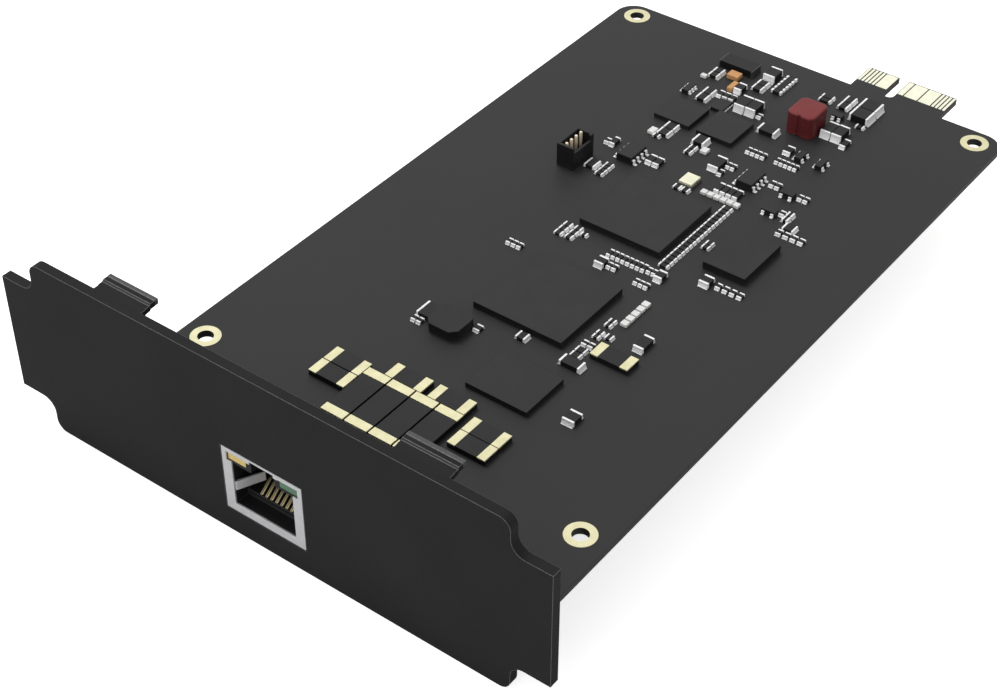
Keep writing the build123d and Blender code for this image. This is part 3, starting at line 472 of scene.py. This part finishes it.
# %% Hand out the finishes
FINISHES = {
    "panel_coat": COAT,
    "board_mask": MASK,
    "gold_plate": GOLD,
    "shield_metal": SHEET,
    "housing_plastic": NYLON,
    "lamp_yellow": YELLOW,
    "lamp_green": GREEN,
    "solder": TIN,
    "chip_mould": EPOXY,
    "ferrite_black": FERRITE,
    "ferrite_red": RED,
    "header_plastic": SHROUD,
    "crystal_ceramic": BASE,
    "pale_ceramic": PALE,
    "brown_ceramic": BROWN,
    "capacitor_body": FILM,
}
SLOT_OF = {s["node"]: s["material_slot"] for s in frame["record"]["subparts"]}
SPECIAL = {
    "header_pins": PIN_GOLD_PAINTED_LIGHT,
    "crystal_lid": LID_GOLD,
    "top_edge_contacts": FINGER_GOLD,
    "bottom_edge_contacts": FINGER_GOLD,
    "jack_contacts": SPRING_GOLD,
    "small_outline_leads": LEAD_PAINTED_HIGHLIGHT,
    "transistor_leads": LEAD_PAINTED_HIGHLIGHT,
    "flat_amplifier_pins": LEAD_PAINTED_HIGHLIGHT,
    "dark_capacitor_ends": DULL,
}


def finish_of(node):
    return SPECIAL.get(node) or FINISHES[SLOT_OF[node]]


for name, obj in nodes.items():
    obj.data.materials.clear()
    obj.data.materials.append(finish_of(name))
print("finished", len(nodes), "solids")

# %% [markdown]
# ## Softened edges
# No real edge is sharp: the panel's is rounded by its coat, a chip's by its mould. A bevel on
# a copy of the solid gives that thin bright line, and the copy stands for the solid. The CAD
# mesh is loose triangles, so the copy is merged and its flat faces joined before the bevel. The
# bevel hardens the normals, so the broad faces stay flat and only the rounded strip is shaded.
# On the panel that strip has a finish of its own, a lighter copy of the coat: a painted
# highlight along each edge. So have the edges of the jack's nylon, a painted highlight where
# they catch the light.

# %% Copy, merge and bevel
WELD_MM = 0.0005
FLAT_ANGLE = math.radians(0.5)
SHARP_ANGLE = math.radians(32)
BEVEL_ANGLE = math.radians(35)
BEVEL_SEGMENTS = 2
EDGE_FINISHES = {"front_panel": COAT_EDGE_HIGHLIGHT, "jack_housing": NYLON_EDGE_HIGHLIGHT}


def welded(node):
    """A node's mesh with its loose triangles joined at their corners."""
    bm = bmesh.new()
    bm.from_mesh(nodes[node].data)
    bmesh.ops.remove_doubles(bm, verts=bm.verts, dist=WELD_MM * MM)
    return bm


def merged_copy(node, name):
    bm = welded(node)
    bmesh.ops.dissolve_limit(
        bm, angle_limit=FLAT_ANGLE, verts=bm.verts, edges=bm.edges, delimit={"NORMAL"}
    )
    mesh = bpy.data.meshes.new(name)
    bm.to_mesh(mesh)
    bm.free()
    obj = bpy.data.objects.new(name, mesh)
    bpy.context.scene.collection.objects.link(obj)
    return obj


def settle(obj):
    """Turns an object's live modifiers into plain mesh."""
    graph = bpy.context.evaluated_depsgraph_get()
    mesh = bpy.data.meshes.new_from_object(obj.evaluated_get(graph))
    obj.modifiers.clear()
    old = obj.data
    obj.data = mesh
    bpy.data.meshes.remove(old)
    return obj


def soften(node, width_mm):
    obj = merged_copy(node, "soft_" + node)
    bevel = obj.modifiers.new("edges", "BEVEL")
    bevel.width = width_mm * MM
    bevel.segments = BEVEL_SEGMENTS
    bevel.limit_method = "ANGLE"
    bevel.angle_limit = BEVEL_ANGLE
    bevel.use_clamp_overlap = True
    bevel.harden_normals = True
    bevel.material = 1 if node in EDGE_FINISHES else -1
    for polygon in obj.data.polygons:
        polygon.use_smooth = True
    obj.data.set_sharp_from_angle(angle=SHARP_ANGLE)
    obj.data.materials.append(finish_of(node))
    if node in EDGE_FINISHES:
        obj.data.materials.append(EDGE_FINISHES[node])
    settle(obj)
    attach(obj, "root")
    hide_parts(node)
    return obj


print("copies and bevels ready, edge finishes for", list(EDGE_FINISHES))

# %% [markdown]
# Each node's edge width is its own, in millimetres: a drawn coat rounds an edge more than a
# mould's parting line does, and a cut chip hardly has one.

# %% Soften the solids
SOFT_WIDTHS = {
    "front_panel": 0.16,
    "circuit_board": 0.06,
    "jack_shield": 0.1,
    "jack_housing": 0.12,
    "left_jack_lamp": 0.1,
    "right_jack_lamp": 0.1,
    "main_processor": 0.03,
    "line_processor": 0.03,
    "interface_chip": 0.03,
    "memory_chip": 0.03,
    "clock_chip": 0.03,
    "control_chip": 0.03,
    "black_inductor": 0.12,
    "red_inductor": 0.22,
    "header_shroud": 0.12,
    "header_pins": 0.12,
    "crystal_base": 0.06,
    "crystal_lid": 0.1,
    "small_outline_bodies": 0.08,
    "small_outline_leads": 0.05,
    "transistor_bodies": 0.08,
    "transistor_leads": 0.05,
    "flat_amplifier_body": 0.05,
    "flat_amplifier_pins": 0.04,
    "resistor_array_body": 0.05,
    "resistor_array_terminals": 0.06,
    "pale_chips": 0.08,
    "gold_end_capacitor_bodies": 0.04,
    "gold_end_capacitor_plates": 0.05,
    "line_filter_bodies": 0.04,
    "line_filter_plates": 0.05,
    "dark_capacitor_body": 0.05,
    "dark_capacitor_ends": 0.05,
    "brown_capacitors": 0.06,
    "thin_chip_terminals": 0.05,
    "medium_chip_terminals": 0.07,
    "thick_chip_terminals": 0.08,
    "tall_chip_terminals": 0.09,
    "jack_ground_springs": 0.06,
    "jack_contacts": 0.1,
}
for node, width in SOFT_WIDTHS.items():
    piece = soften(node, width)
    print(piece.name, len(piece.data.polygons), "faces")

# %% [markdown]
# ## Solder at every chip end
# Over two hundred chip ends stand on the board, each with a small slope of solder in front.
# Modelling them one by one would be hopeless, and copies placed by hand would drift from the
# solids. So the ends are read back from the frame: a flood over shared corners finds each
# separate solid, its box gives width and height, and its body's box tells which way is out.

# %% Read the chip ends from the solids
def solid_boxes(node):
    """Low and high corner of every separate solid in a node."""
    bm = welded(node)
    waiting = set(bm.verts)
    boxes = []
    while waiting:
        reached = [waiting.pop()]
        found = []
        while reached:
            vert = reached.pop()
            found.append(tuple(vert.co))
            near = {e.other_vert(vert) for e in vert.link_edges} & waiting
            waiting -= near
            reached += near
        points = np.array(found)
        boxes.append((points.min(axis=0), points.max(axis=0)))
    bm.free()
    return sorted(boxes, key=lambda box: tuple(box[0]))


def chip_ends(kind):
    """Place, outward turn, width and height of each end of one kind of chip."""
    bodies = np.array([(low + high) / 2 for low, high in solid_boxes(kind + "_chip_bodies")])
    rows = []
    for low, high in solid_boxes(kind + "_chip_terminals"):
        middle = (low + high) / 2
        away = middle - bodies[np.argmin(np.linalg.norm(bodies - middle, axis=1))]
        along_x = abs(away[0]) > abs(away[1])
        axis = 0 if along_x else 1
        side = 1 if away[axis] > 0 else -1
        place = np.array([middle[0], middle[1], low[2]])
        place[axis] = high[axis] if side > 0 else low[axis]
        turn = math.atan2(0 if along_x else side, side if along_x else 0)
        width = high[1 - axis] - low[1 - axis]
        rows.append((place, turn, width, high[2] - low[2]))
    return rows


ENDS = {kind: chip_ends(kind) for kind in ("thin", "medium", "thick", "tall")}
print("chip ends", {kind: len(rows) for kind, rows in ENDS.items()})

# %% [markdown]
# Geometry Nodes put the copies in place, here and for the vias below. A group's inputs are named,
# and they are filled by their identifiers. Each group ends by realizing its instances and
# setting their material. `pour` runs a group on a mesh and keeps only plain mesh.

# %% Wrap node groups
def new_group(name, sockets):
    group = bpy.data.node_groups.new(name, "GeometryNodeTree")
    group.interface.new_socket("Geometry", in_out="INPUT", socket_type="NodeSocketGeometry")
    for label, kind in sockets:
        group.interface.new_socket(label, in_out="INPUT", socket_type="NodeSocket" + kind)
    group.interface.new_socket("Geometry", in_out="OUTPUT", socket_type="NodeSocketGeometry")
    return group


def wire(group, kind, settings=None, **inputs):
    """Adds a node; keyword names with underscores stand for socket names with spaces."""
    node = group.nodes.new(kind)
    for name, value in (settings or {}).items():
        setattr(node, name, value)
    for name, value in inputs.items():
        socket = node.inputs[name.replace("_", " ")]
        if isinstance(value, bpy.types.NodeSocket):
            group.links.new(value, socket)
        else:
            socket.default_value = value
    return node


def finish_group(group, instances, material):
    real = wire(group, "GeometryNodeRealizeInstances", Geometry=instances)
    painted = wire(group, "GeometryNodeSetMaterial", Geometry=real.outputs[0], Material=material)
    out = group.nodes.new("NodeGroupOutput")
    group.links.new(painted.outputs[0], out.inputs[0])
    return group


def read(group, kind, name):
    return wire(group, "GeometryNodeInputNamedAttribute", {"data_type": kind}, Name=name).outputs[0]


def points_mesh(name, places, **vectors):
    mesh = bpy.data.meshes.new(name)
    mesh.from_pydata([tuple(p) for p in places], [], [])
    for label, rows in vectors.items():
        layer = mesh.attributes.new(label, "FLOAT_VECTOR", "POINT")
        layer.data.foreach_set("vector", np.array(rows, dtype=float).ravel())
    obj = bpy.data.objects.new(name, mesh)
    bpy.context.scene.collection.objects.link(obj)
    return obj


def pour(obj, group, **values):
    live = obj.modifiers.new("nodes", "NODES")
    live.node_group = group
    for socket in group.interface.items_tree:
        if socket.item_type == "SOCKET" and socket.in_out == "INPUT" and socket.name in values:
            live[socket.identifier] = values[socket.name]
    obj.update_tag()
    bpy.context.view_layer.update()
    return settle(obj)


print("node group helpers ready")

# %% [markdown]
# For the solder, the point mesh carries the turn and the size of every chip end as attributes,
# and the group puts one unit slope on each point.

# %% Pour the solder
SLOPE_REACH = {"thin": 0.16, "medium": 0.22, "thick": 0.28, "tall": 0.34}
SLOPE_WIDTH_SHARE = 0.96
SLOPE_HEIGHT_SHARE = 0.6
SLOPE_STEPS = 5
SLOPE_HOLLOW = 1.8


def slope_group():
    group = new_group("solder_slopes", [("Slope", "Object"), ("Material", "Material")])
    source = group.nodes.new("NodeGroupInput")
    slope = wire(group, "GeometryNodeObjectInfo", Object=source.outputs["Slope"])
    placed = wire(
        group,
        "GeometryNodeInstanceOnPoints",
        Points=source.outputs["Geometry"],
        Instance=slope.outputs["Geometry"],
        Rotation=read(group, "FLOAT_VECTOR", "turn"),
        Scale=read(group, "FLOAT_VECTOR", "size"),
    )
    return finish_group(group, placed.outputs[0], source.outputs["Material"])


def unit_slope():
    """A solder slope one wide, one long and one high, hollow toward its foot."""
    shares = [t / SLOPE_STEPS for t in range(SLOPE_STEPS + 1)]
    curve = [(share, (1 - share) ** SLOPE_HOLLOW) for share in shares]
    outline = [(0, 0)] + [(x, z) for x, z in reversed(curve)]
    verts = [(x, side, z) for side in (-0.5, 0.5) for x, z in outline]
    count = len(outline)
    faces = [list(range(count)), [count + i for i in reversed(range(count))]]
    for i in range(count):
        j = (i + 1) % count
        faces.append([j, i, count + i, count + j])
    mesh = bpy.data.meshes.new("unit_slope")
    mesh.from_pydata(verts, [], faces)
    obj = bpy.data.objects.new("unit_slope", mesh)
    bpy.context.scene.collection.objects.link(obj)
    return obj


slope = unit_slope()
slopes = slope_group()
for kind, rows in ENDS.items():
    reach = SLOPE_REACH[kind] * MM
    obj = points_mesh(
        kind + "_chip_solder",
        [place for place, _, _, _ in rows],
        turn=[(0, 0, turn) for _, turn, _, _ in rows],
        size=[
            (reach, width * SLOPE_WIDTH_SHARE, height * SLOPE_HEIGHT_SHARE)
            for _, _, width, height in rows
        ],
    )
    pour(obj, slopes, Slope=slope, Material=TIN)
    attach(obj, "root")
    print(obj.name, len(obj.data.polygons), "faces")
bpy.data.objects.remove(slope)

# %% [markdown]
# ## Vias on the board's back
# Under each large chip a field of small plated holes leads through the board, closed by the
# mask, so they are only low round dots. They stand on a grid, as vias do, but not every grid
# point has one. A node group makes the grid, drops a share of its points with a fixed seed and
# puts a dot on the rest.

# %% Tent the vias under the large chips
VIA_PITCH = 1.27
VIA_RADIUS = 0.3
VIA_HEIGHT = 0.03
VIA_TOP_SHARE = 0.72
VIA_SIDES = 10
VIAS_DROPPED = 0.35
FIRST_SEED = 11
LARGE_CHIPS = [
    "main_processor",
    "line_processor",
    "interface_chip",
    "memory_chip",
    "clock_chip",
    "control_chip",
]


def via_group():
    sockets = [("Width", "Float"), ("Depth", "Float"), ("Columns", "Int"), ("Rows", "Int")]
    sockets += [("Dropped", "Float"), ("Seed", "Int"), ("Dot", "Object"), ("Material", "Material")]
    group = new_group("via_field", sockets)
    given = group.nodes.new("NodeGroupInput").outputs
    grid = wire(
        group,
        "GeometryNodeMeshGrid",
        Size_X=given["Width"],
        Size_Y=given["Depth"],
        Vertices_X=given["Columns"],
        Vertices_Y=given["Rows"],
    )
    chance = wire(
        group,
        "FunctionNodeRandomValue",
        {"data_type": "BOOLEAN"},
        Probability=given["Dropped"],
        Seed=given["Seed"],
    )
    dropped = next(o for o in chance.outputs if o.enabled)
    kept = wire(
        group, "GeometryNodeDeleteGeometry", Geometry=grid.outputs["Mesh"], Selection=dropped
    )
    dot = wire(group, "GeometryNodeObjectInfo", Object=given["Dot"])
    placed = wire(
        group,
        "GeometryNodeInstanceOnPoints",
        Points=kept.outputs[0],
        Instance=dot.outputs["Geometry"],
    )
    return finish_group(group, placed.outputs[0], given["Material"])


def low_dot():
    """A flat-topped dot whose rim slopes, open at its foot, standing down from z = 0."""
    mesh = bpy.data.meshes.new("via_dot")
    rings = [(VIA_RADIUS * MM, 0.0), (VIA_RADIUS * MM * VIA_TOP_SHARE, -VIA_HEIGHT * MM)]
    turns = [math.tau * i / VIA_SIDES for i in range(VIA_SIDES)]
    verts = [(r * math.cos(turn), r * math.sin(turn), z) for r, z in rings for turn in turns]
    faces = []
    for i in range(VIA_SIDES):
        j = (i + 1) % VIA_SIDES
        faces.append([i, VIA_SIDES + i, VIA_SIDES + j, j])
    faces.append([VIA_SIDES + i for i in reversed(range(VIA_SIDES))])
    mesh.from_pydata(verts, [], faces)
    obj = bpy.data.objects.new("via_dot", mesh)
    bpy.context.scene.collection.objects.link(obj)
    return obj


via_dot = low_dot()
vias = via_group()
for number, chip in enumerate(LARGE_CHIPS):
    low, high = solid_boxes(chip)[0]
    size = high - low
    columns, rows = [int(size[a] / MM / VIA_PITCH) for a in (0, 1)]
    field = points_mesh(chip + "_vias", [(0, 0, 0)])
    pour(
        field,
        vias,
        Width=(columns - 1) * VIA_PITCH * MM,
        Depth=(rows - 1) * VIA_PITCH * MM,
        Columns=columns,
        Rows=rows,
        Dropped=VIAS_DROPPED,
        Seed=number + FIRST_SEED,
        Dot=via_dot,
        Material=VIA_MASK,
    )
    middle = (low + high) / 2
    field.data.transform(Matrix.Translation((middle[0], middle[1], 0)))
    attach(field, "root")
    print(field.name, len(field.data.polygons), "faces")
bpy.data.objects.remove(via_dot)

# %% [markdown]
# ## Floor and light
# The floor is pale and lies just under the panel's lower edge. It glows a little for the camera
# only: it clips to white, and still shows the module's shadow.

# %% Floor
FLOOR_DROP = 0.05
FLOOR_SIZE = 8
FLOOR_LEVEL = 0.86
FLOOR_GLOW = 0.72


def flat_white(name, level, glow):
    f = Finish(name, **{"Roughness": 0.9, "Base Color": (level, level, level)})
    straight = f.add("ShaderNodeLightPath", out=0)
    f.give({"Emission Color": f.mix(straight, (0, 0, 0), (glow, glow, glow))})
    f.give({"Emission Strength": 1.0})
    return f.material


floor_z = cad_box[0][2] - FLOOR_DROP * MM
bpy.ops.mesh.primitive_plane_add(size=FLOOR_SIZE, location=(0, 0, floor_z))
floor = bpy.context.object
floor.name = "floor"
floor.data.materials.append(flat_white("floor_white", FLOOR_LEVEL, FLOOR_GLOW))
print("floor at", round(floor_z / MM, 2), "mm")

# %% [markdown]
# The surround is white where the camera or a reflection sees it, and lights the module at half
# that strength. Two wide, far lamps add direction. The strong one stands behind and to the left,
# so the short shadows fall toward the camera and the flanks that face it stay dark; a weak one
# opens up the panel's front. SUN lamps light the whole board evenly.

# %% Surround and lamps
SURROUND_LIGHT = 0.5
SURROUND_SEEN = 1.0

world = bpy.data.worlds.new("surround")
bpy.context.scene.world = world
world.use_nodes = True
tree = world.node_tree
tree.nodes.clear()
rays = tree.nodes.new("ShaderNodeLightPath")
lit = tree.nodes.new("ShaderNodeBackground")
lit.inputs["Strength"].default_value = SURROUND_LIGHT
seen = tree.nodes.new("ShaderNodeBackground")
seen.inputs["Strength"].default_value = SURROUND_SEEN
either = tree.nodes.new("ShaderNodeMath")
either.operation = "MAXIMUM"
join = tree.nodes.new("ShaderNodeMixShader")
surround = tree.nodes.new("ShaderNodeOutputWorld")
for background in (lit, seen):
    background.inputs["Color"].default_value = (1, 1, 1, 1)
tree.links.new(rays.outputs["Is Camera Ray"], either.inputs[0])
tree.links.new(rays.outputs["Is Glossy Ray"], either.inputs[1])
tree.links.new(either.outputs[0], join.inputs[0])
tree.links.new(lit.outputs[0], join.inputs[1])
tree.links.new(seen.outputs[0], join.inputs[2])
tree.links.new(join.outputs[0], surround.inputs[0])


def soft_sun(name, toward, strength, spread_degrees):
    """A far lamp: even over the whole board, soft by the angle it fills."""
    data = bpy.data.lights.new(name, "SUN")
    data.energy = strength
    data.angle = math.radians(spread_degrees)
    lamp = bpy.data.objects.new(name, data)
    lamp.rotation_euler = Vector(toward).to_track_quat("Z", "Y").to_euler()
    lamp.location = Vector(toward)
    bpy.context.scene.collection.objects.link(lamp)
    print(name, "strength", strength)


soft_sun("key_lamp", (-0.5, 0.12, 0.9), 1.5, 30)
soft_sun("front_lamp", (0.1, -0.9, 0.35), 0.7, 40)
bpy.context.scene.view_settings.view_transform = "Standard"
